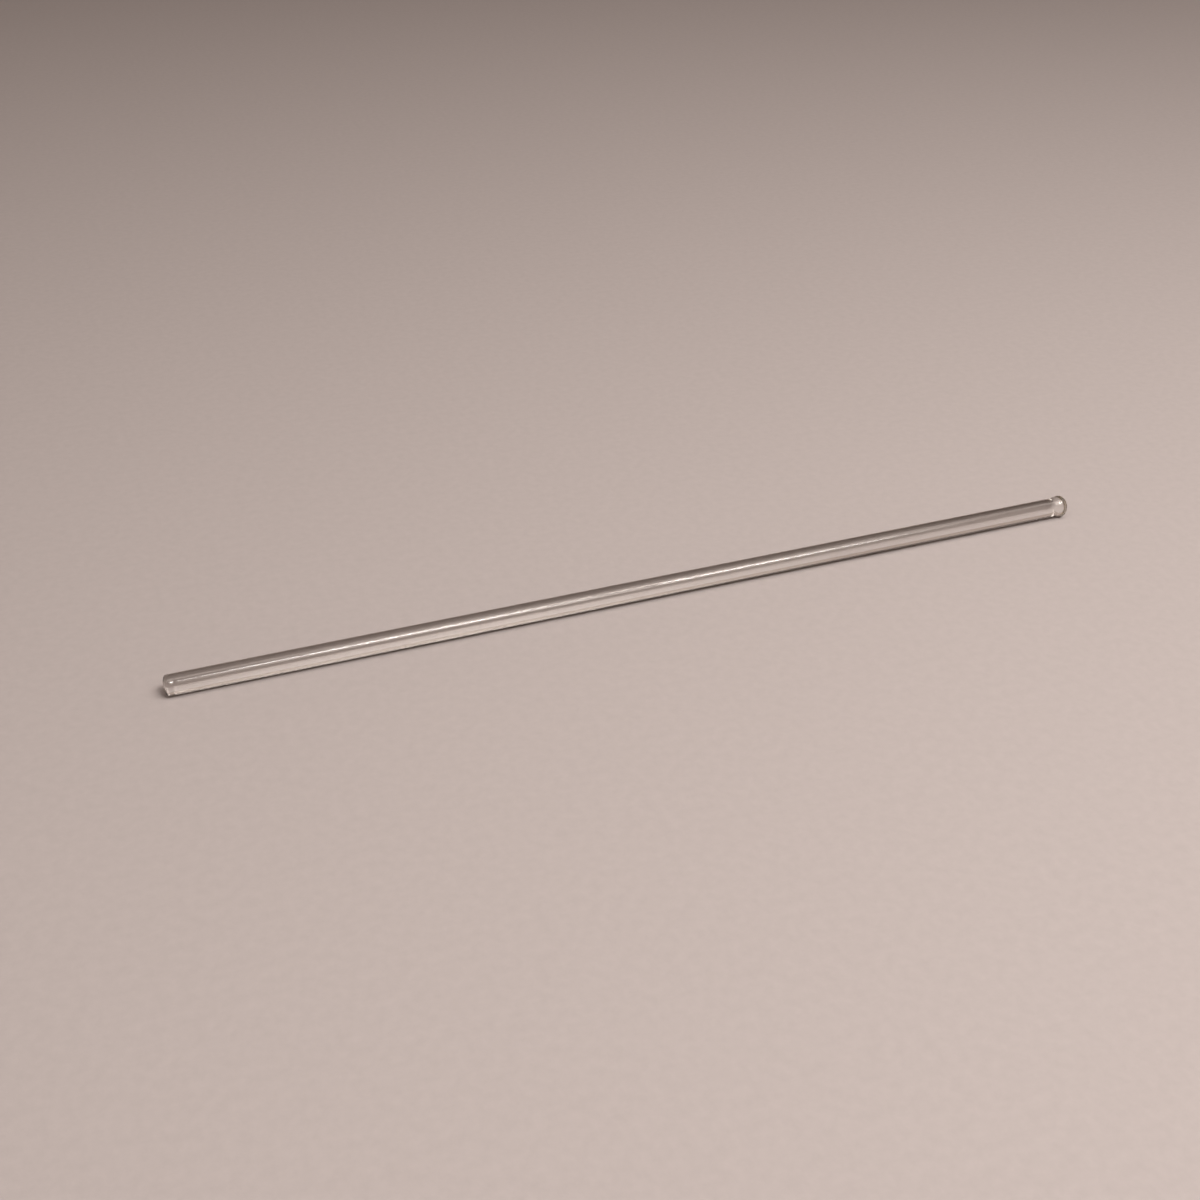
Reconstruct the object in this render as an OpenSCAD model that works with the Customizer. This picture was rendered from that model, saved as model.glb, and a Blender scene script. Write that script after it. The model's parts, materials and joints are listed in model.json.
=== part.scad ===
// Glass stirring rod: one solid length of drawn glass rod, lying along X.
// The plain end (-X) was melted just enough to round its rim and crown its face.
// The other end (+X) was melted further and drew back into a low bead.
// The origin is on the axis, half-way along the overall length.

/* [Shaft] */
// Diameter of the drawn glass rod
rod_d = 6.35; // [4.2:0.05:12]
// Overall length, from the crown of the plain end to the tip of the bead
rod_length = 305; // [60:1:500]

/* [Plain end] */
// Radius of the melted rim
plain_rim_r = 1.3; // [0.3:0.05:2.9]
// Height of the crown on the face, above where a flat face would lie
plain_crown = 0.25; // [0.05:0.05:1]

/* [Bead end] */
// How far the bead stands out from the shaft, all round
bead_swell = 0.4; // [0.05:0.05:2]
// Length of the bead's crest, where it is widest
bead_crest = 0.4; // [0.1:0.1:10]
// Radius of the hollow curve where the shaft runs out into the bead
neck_r = 12.3; // [1.5:0.1:20]
// Radius of the round shoulder between the neck and the crest
shoulder_r = 4.1; // [0.5:0.1:10]
// Radius of the melted rim
bead_rim_r = 1.575; // [0.3:0.025:2.7]
// Height of the crown on the face, above where a flat face would lie
bead_crown = 0.8; // [0.05:0.05:1]

/* [Hidden] */

// Segments round a full circle
$fn = 128;
// How many times farther than they need the cutting shapes reach
far = 20;

rod_r = rod_d / 2;
bead_r = rod_r + bead_swell;

// Half-sections are drawn with the radius along X and the rod's axis along Y.
plain_tip = -rod_length / 2;
bead_tip = rod_length / 2;

// The crest ends at the rim's centre, and the neck's and shoulder's arcs touch.
crest_end = bead_tip - bead_crown - bead_rim_r;
crest_start = crest_end - bead_crest;
blend_r = neck_r + shoulder_r;
blend_length = sqrt(bead_swell * (2 * blend_r - bead_swell));
neck_start = crest_start - blend_length;

// Radius of the face that has this crown and runs smoothly into the rim
function face_r(r, rim_r, crown) =
    let (rim_centre_r = r - rim_r)
    rim_r + (rim_centre_r ^ 2 + crown ^ 2) / (2 * crown);

// Half-section of a melted end of radius r that reaches `depth` back from its tip at 0.
// The face is the part of its circle between the axis and the line through the rim's centre.
module melted_end(r, rim_r, crown, depth) {
    rim_centre = [r - rim_r, -crown - rim_r];
    face = face_r(r, rim_r, crown);
    line = far * [rim_centre.x, rim_centre.y + face];

    translate([0, -depth])
        square([r, depth - crown - rim_r]);
    intersection() {
        translate(rim_centre)
            circle(rim_r);
        translate([0, -depth])
            square([r, depth]);
    }
    translate([0, -face])
        intersection() {
            circle(face);
            polygon([[0, 0], [0, far * face], line]);
        }
}

// Half-section of the bead's back: the neck, the shoulder, and on inside the crest so that they join.
module neck_and_shoulder() {
    touch = [bead_r - shoulder_r + shoulder_r * (blend_r - bead_swell) / blend_r,
             crest_start - shoulder_r * blend_length / blend_r];
    difference() {
        intersection() {
            translate([0, neck_start])
                square([bead_r, blend_length + bead_crest]);
            union() {
                translate([bead_r - shoulder_r, crest_start])
                    circle(shoulder_r);
                translate([0, neck_start])
                    square([touch.x, blend_length]);
            }
        }
        translate([rod_r + neck_r, neck_start])
            circle(neck_r);
    }
}

// The shaft runs on inside the bead as far as the crest does.
module rod_section() {
    translate([0, plain_tip])
        mirror([0, 1])
            melted_end(rod_r, plain_rim_r, plain_crown, crest_end - plain_tip);
    neck_and_shoulder();
    translate([0, bead_tip])
        melted_end(bead_r, bead_rim_r, bead_crown, bead_tip - crest_start);
}

module rod() {
    color([0.8, 0.82, 0.78, 0.5])
        rotate([0, 90, 0])
            rotate_extrude()
                rod_section();
}

rod();
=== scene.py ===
import json
import math

import bpy
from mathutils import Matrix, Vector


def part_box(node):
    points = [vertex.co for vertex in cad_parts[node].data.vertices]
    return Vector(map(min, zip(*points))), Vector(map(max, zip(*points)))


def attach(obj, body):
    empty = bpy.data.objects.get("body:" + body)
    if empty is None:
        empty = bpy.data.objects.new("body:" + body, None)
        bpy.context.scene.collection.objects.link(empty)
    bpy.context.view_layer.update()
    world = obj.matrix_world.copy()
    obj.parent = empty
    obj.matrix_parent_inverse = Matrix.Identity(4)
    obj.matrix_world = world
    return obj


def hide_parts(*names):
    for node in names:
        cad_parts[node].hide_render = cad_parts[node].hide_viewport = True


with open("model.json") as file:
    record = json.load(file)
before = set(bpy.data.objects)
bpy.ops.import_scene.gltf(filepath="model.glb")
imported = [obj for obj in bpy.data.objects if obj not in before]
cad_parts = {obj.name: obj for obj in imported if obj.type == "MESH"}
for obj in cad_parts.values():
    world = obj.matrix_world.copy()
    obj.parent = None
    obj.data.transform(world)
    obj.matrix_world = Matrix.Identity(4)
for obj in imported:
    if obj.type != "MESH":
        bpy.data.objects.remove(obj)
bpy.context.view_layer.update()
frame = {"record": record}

# --- The rod -------------------------------------------------------------------------------
# A length of clear glass rod, drawn at the works, cut, and turned in a flame at both ends.
# One end was only rounded; the other was left in longer and drew back into a low bead.

MM = 0.001

rod_low, rod_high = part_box("rod")
plain_tip = rod_low[0]
bead_tip = rod_high[0]
bead_r = rod_high[2]
rod_r = frame["record"]["mounts"][0]["dims"]["r_mm"] * MM

plain_rim_r = 1.3 * MM
plain_crown = 0.25 * MM
bead_rim_r = 1.575 * MM
bead_crown = 0.8 * MM
bead_crest = 0.4 * MM
neck_r = 12.3 * MM
shoulder_r = 4.1 * MM

ROUND = 256          # corners round the rod
ARC_STEPS = 20       # rings along each arc


def arc_rings(centre_x, centre_r, radius, start, end):
    """Rings along an arc of the rod's outline, as (x, radius) pairs, with angles from +X outwards."""
    rings = []
    for step in range(ARC_STEPS + 1):
        angle = start + (end - start) * step / ARC_STEPS
        rings.append((centre_x + radius * math.cos(angle), centre_r + radius * math.sin(angle)))
    return rings


def melted_end_rings(tip, inward, end_r, rim_r, crown):
    """Rings of a melted end, from near its tip to its full radius; inward is X's sign into the glass."""
    rim_centre_r = end_r - rim_r
    face_r = rim_r + (rim_centre_r ** 2 + crown ** 2) / (2 * crown)
    meet = math.asin(rim_centre_r / (face_r - rim_r))
    pole = meet / ARC_STEPS
    rings = arc_rings(-face_r, 0, face_r, pole, meet)
    rings += arc_rings(-crown - rim_r, rim_centre_r, rim_r, meet, math.pi / 2)[1:]
    return [(tip - inward * x, radius) for x, radius in rings]


# The flame left the plain rim a hair proud of the glass behind it.
waist_start = plain_tip + plain_crown + plain_rim_r
waist_length = 2.4 * MM
waist_depth = 0.05 * MM
waist_rings = []
for step in range(1, ARC_STEPS):
    along = step / ARC_STEPS
    dip = waist_depth * (1 - math.cos(2 * math.pi * along)) / 2
    waist_rings.append((waist_start + waist_length * along, rod_r - dip))

blend_r = neck_r + shoulder_r
swell = bead_r - rod_r
blend_length = math.sqrt(swell * (2 * blend_r - swell))
blend_angle = math.asin(blend_length / blend_r)
crest_start = bead_tip - bead_crown - bead_rim_r - bead_crest
neck_start = crest_start - blend_length

outline = melted_end_rings(plain_tip, 1, rod_r, plain_rim_r, plain_crown)
outline += waist_rings
outline += arc_rings(neck_start, rod_r + neck_r, neck_r, -math.pi / 2, -math.pi / 2 + blend_angle)
outline += arc_rings(crest_start, bead_r - shoulder_r, shoulder_r, math.pi / 2 + blend_angle, math.pi / 2)[1:]
outline += reversed(melted_end_rings(bead_tip, -1, bead_r, bead_rim_r, bead_crown))

bpy.ops.object.select_all(action="DESELECT")
first_x, first_r = outline[0]
bpy.ops.mesh.primitive_circle_add(
    vertices=ROUND, radius=first_r, fill_type="TRIFAN",
    location=(first_x, 0, 0), rotation=(0, math.pi / 2, 0))
rod = bpy.context.object
rod.name = "stirring_rod"
bpy.ops.object.transform_apply(location=True, rotation=True, scale=True)
bpy.ops.object.mode_set(mode="EDIT")
bpy.ops.mesh.select_all(action="SELECT")
bpy.ops.mesh.region_to_loop()
for (last_x, last_r), (x, radius) in zip(outline, outline[1:]):
    bpy.ops.mesh.extrude_region_move(TRANSFORM_OT_translate={"value": (x - last_x, 0, 0)})
    bpy.ops.transform.resize(value=(1, radius / last_r, radius / last_r), center_override=(x, 0, 0))
bpy.ops.mesh.edge_face_add()
bpy.ops.mesh.poke()
bpy.ops.mesh.select_all(action="SELECT")
bpy.ops.mesh.normals_make_consistent(inside=False)
bpy.ops.mesh.faces_shade_smooth()
bpy.ops.object.mode_set(mode="OBJECT")

glass = bpy.data.materials.new("drawn_glass")
glass.use_nodes = True
tree = glass.node_tree
bsdf = tree.nodes["Principled BSDF"]
bsdf.inputs["Base Color"].default_value = (1, 1, 1, 1)
bsdf.inputs["Transmission Weight"].default_value = 1.0
bsdf.inputs["IOR"].default_value = 1.5
bsdf.inputs["Roughness"].default_value = 0.0
bsdf.inputs["Coat Roughness"].default_value = 0.13

# Handling has left a faint film on the outside only, thinner here and thicker there.
place = tree.nodes.new("ShaderNodeTexCoord")
smear_scale = tree.nodes.new("ShaderNodeMapping")
smear_scale.inputs["Scale"].default_value = (60, 220, 220)
smear = tree.nodes.new("ShaderNodeTexNoise")
smear.inputs["Scale"].default_value = 1.0
smear.inputs["Detail"].default_value = 3.0
thickness = tree.nodes.new("ShaderNodeMapRange")
thickness.inputs["From Min"].default_value = 0.35
thickness.inputs["From Max"].default_value = 0.65
thickness.inputs["To Min"].default_value = 0.6
thickness.inputs["To Max"].default_value = 0.8
side = tree.nodes.new("ShaderNodeNewGeometry")
outside = tree.nodes.new("ShaderNodeMath")
outside.operation = "SUBTRACT"
outside.inputs[0].default_value = 1.0
film = tree.nodes.new("ShaderNodeMath")
film.operation = "MULTIPLY"
tree.links.new(place.outputs["Object"], smear_scale.inputs["Vector"])
tree.links.new(smear_scale.outputs["Vector"], smear.inputs["Vector"])
tree.links.new(smear.outputs["Fac"], thickness.inputs["Value"])
tree.links.new(side.outputs["Backfacing"], outside.inputs[1])
tree.links.new(thickness.outputs["Result"], film.inputs[0])
tree.links.new(outside.outputs["Value"], film.inputs[1])
tree.links.new(film.outputs["Value"], bsdf.inputs["Coat Weight"])

# Drawing has left the surface very slightly uneven along its length.
draw_scale = tree.nodes.new("ShaderNodeMapping")
draw_scale.inputs["Scale"].default_value = (25, 500, 500)
draw_lines = tree.nodes.new("ShaderNodeTexNoise")
draw_lines.inputs["Scale"].default_value = 1.0
draw_lines.inputs["Detail"].default_value = 2.0
draw_bump = tree.nodes.new("ShaderNodeBump")
draw_bump.inputs["Strength"].default_value = 0.02
draw_bump.inputs["Distance"].default_value = 0.00005
tree.links.new(place.outputs["Object"], draw_scale.inputs["Vector"])
tree.links.new(draw_scale.outputs["Vector"], draw_lines.inputs["Vector"])
tree.links.new(draw_lines.outputs["Fac"], draw_bump.inputs["Height"])
tree.links.new(draw_bump.outputs["Normal"], bsdf.inputs["Normal"])

# The glass is faintly brown along its length, though it looks clear across.
absorb = tree.nodes.new("ShaderNodeVolumeAbsorption")
absorb.inputs["Color"].default_value = (0.80, 0.77, 0.67, 1)
absorb.inputs["Density"].default_value = 24.0
tree.links.new(absorb.outputs["Volume"], tree.nodes["Material Output"].inputs["Volume"])
rod.data.materials.append(glass)
rod.cycles.is_caustics_caster = True

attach(rod, "root")
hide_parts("rod")

# --- The paper ------------------------------------------------------------------------------
# A broad sheet of warm grey paper on the table. The rod touches it with the shaft's plain end
# and with the bead, which is thicker, so the sheet lies a little off level in the rod's frame.

touch_plain = (waist_start, -rod_r)
touch_bead = (crest_start + bead_crest, -bead_r)
tilt = math.atan2(touch_plain[1] - touch_bead[1], touch_bead[0] - touch_plain[0])
paper_z = touch_plain[1] + touch_plain[0] * math.tan(tilt)

bpy.ops.object.select_all(action="DESELECT")
bpy.ops.mesh.primitive_plane_add(size=5, location=(0, 0, paper_z), rotation=(0, tilt, 0))
paper = bpy.context.object
paper.name = "paper"

sheet = bpy.data.materials.new("warm_grey_paper")
sheet.use_nodes = True
tree = sheet.node_tree
bsdf = tree.nodes["Principled BSDF"]
bsdf.inputs["Roughness"].default_value = 0.9

# Pulp lies in soft clouds about 3 mm across, with a finer grain over them.
place = tree.nodes.new("ShaderNodeTexCoord")
cloud = tree.nodes.new("ShaderNodeTexNoise")
cloud.inputs["Scale"].default_value = 320.0
cloud.inputs["Detail"].default_value = 4.0
cloud.inputs["Roughness"].default_value = 0.6
pulp = tree.nodes.new("ShaderNodeValToRGB")
stops = pulp.color_ramp.elements
stops[0].position = 0.3
stops[0].color = (0.548, 0.501, 0.499, 1)
stops[1].position = 0.7
stops[1].color = (0.583, 0.532, 0.530, 1)
grain = tree.nodes.new("ShaderNodeTexNoise")
grain.inputs["Scale"].default_value = 900.0
grain.inputs["Detail"].default_value = 2.0
tooth = tree.nodes.new("ShaderNodeBump")
tooth.inputs["Strength"].default_value = 0.15
tooth.inputs["Distance"].default_value = 0.0003
tree.links.new(place.outputs["Object"], cloud.inputs["Vector"])
tree.links.new(place.outputs["Object"], grain.inputs["Vector"])
tree.links.new(cloud.outputs["Fac"], pulp.inputs["Fac"])
tree.links.new(pulp.outputs["Color"], bsdf.inputs["Base Color"])
tree.links.new(grain.outputs["Fac"], tooth.inputs["Height"])
tree.links.new(tooth.outputs["Normal"], bsdf.inputs["Normal"])
paper.data.materials.append(sheet)
paper.cycles.is_caustics_receiver = True

# --- Lamps ----------------------------------------------------------------------------------
# A soft box on a boom over the camera's side, in line with the rod: an uneven white face, two
# tubes glowing through it lower down, and a warm skirt. A long dim panel hangs overhead.


def panel(name, reach, low, high, x_from, x_to, radiance, tint, glow):
    """An area lamp facing the rod's axis, between two angles in degrees, from the far tabletop over the top.
    Its glow runs along X, as pairs of a place from 0 to 1 and a share of the full radiance."""
    data = bpy.data.lights.new(name, "AREA")
    data.shape = "RECTANGLE"
    data.size = x_to - x_from
    data.size_y = 2 * reach * math.tan(math.radians(high - low) / 2)
    data.energy = radiance * math.pi * data.size * data.size_y
    data.color = tint
    data.cycles.is_caustics_light = True
    data.use_nodes = True
    tree = data.node_tree
    across = tree.nodes.new("ShaderNodeNewGeometry")
    split = tree.nodes.new("ShaderNodeSeparateXYZ")
    ramp = tree.nodes.new("ShaderNodeValToRGB")
    stops = ramp.color_ramp.elements
    for spot, share in glow[1:-1]:
        stops.new(spot)
    for stop, (spot, share) in zip(stops, glow):
        stop.position = spot
        stop.color = (share, share, share, 1)
    tree.links.new(across.outputs["Parametric"], split.inputs["Vector"])
    tree.links.new(split.outputs["X"], ramp.inputs["Fac"])
    tree.links.new(ramp.outputs["Color"], tree.nodes["Emission"].inputs["Color"])
    lamp = bpy.data.objects.new(name, data)
    bpy.context.scene.collection.objects.link(lamp)
    angle = math.radians((low + high) / 2)
    lamp.location = ((x_from + x_to) / 2, reach * math.cos(angle), reach * math.sin(angle))
    lamp.rotation_euler = (angle - math.pi / 2, 0, 0)


panel("face", 1.16, 106, 116.5, -0.02, 0.92, 7.8, (1.14, 1.0, 0.90),
      [(0, 0), (0.12, 0.55), (0.3, 0.8), (0.45, 1), (0.6, 0.8), (0.8, 0.4), (1, 0)])
panel("tube_left", 1.15, 119.5, 125.5, -0.10, 0.40, 30, (1.03, 1.0, 0.95),
      [(0, 0.2), (0.2, 0.5), (0.45, 0.9), (0.6, 1), (0.8, 0.35), (1, 0.1)])
panel("tube_right", 1.15, 119.5, 125.5, 0.42, 0.80, 28, (1.03, 1.0, 0.95),
      [(0, 0.5), (0.06, 1), (0.25, 0.9), (0.6, 0.45), (1, 0)])
panel("skirt", 1.17, 125.5, 141.5, -0.10, 0.70, 3.6, (1.12, 1.0, 0.92),
      [(0, 0.3), (0.25, 0.85), (0.5, 1), (0.7, 0.7), (0.9, 0.3), (1, 0.1)])
panel("overhead", 1.8, 84, 104, -2.2, 2.5, 1.54, (1.10, 0.99, 0.91), [(0, 1), (0.6, 1), (1, 0.8)])

# The room has a pale wall up to 17 degrees above the table, and a dim ceiling from 25 degrees up.
world = bpy.data.worlds.new("pale_room")
bpy.context.scene.world = world
world.use_nodes = True
room = world.node_tree
facing = room.nodes.new("ShaderNodeTexCoord")
split = room.nodes.new("ShaderNodeSeparateXYZ")
wall = room.nodes.new("ShaderNodeValToRGB")
stops = wall.color_ramp.elements
stops[0].position = 0.30
stops[0].color = (0.40, 0.31, 0.265, 1)
stops[1].position = 0.42
stops[1].color = (0.072, 0.052, 0.041, 1)
room.links.new(facing.outputs["Generated"], split.inputs["Vector"])
room.links.new(split.outputs["Z"], wall.inputs["Fac"])
room.links.new(wall.outputs["Color"], room.nodes["Background"].inputs["Color"])

# --- Camera ----------------------------------------------------------------------------------
# A 50 mm lens on a full frame body, held over the near side of the table and left of the rod's
# middle. It looks down by thirty degrees, and the rod runs away from it to the right.

camera_data = bpy.data.cameras.new("camera")
camera_data.sensor_width = 36
camera_data.lens = 50
camera = bpy.data.objects.new("camera", camera_data)
bpy.context.scene.collection.objects.link(camera)
camera.location = (-0.18643, -0.41408, 0.25672)
camera.rotation_euler = (math.radians(90 - 29.948), 0, math.radians(-22.003))
bpy.context.scene.camera = camera
bpy.context.scene.view_settings.view_transform = "Standard"

# Light runs down the rod by bouncing along inside it, some fifty times from end to end.
bpy.context.scene.cycles.max_bounces = 72
bpy.context.scene.cycles.glossy_bounces = 72
bpy.context.scene.cycles.transmission_bounces = 72
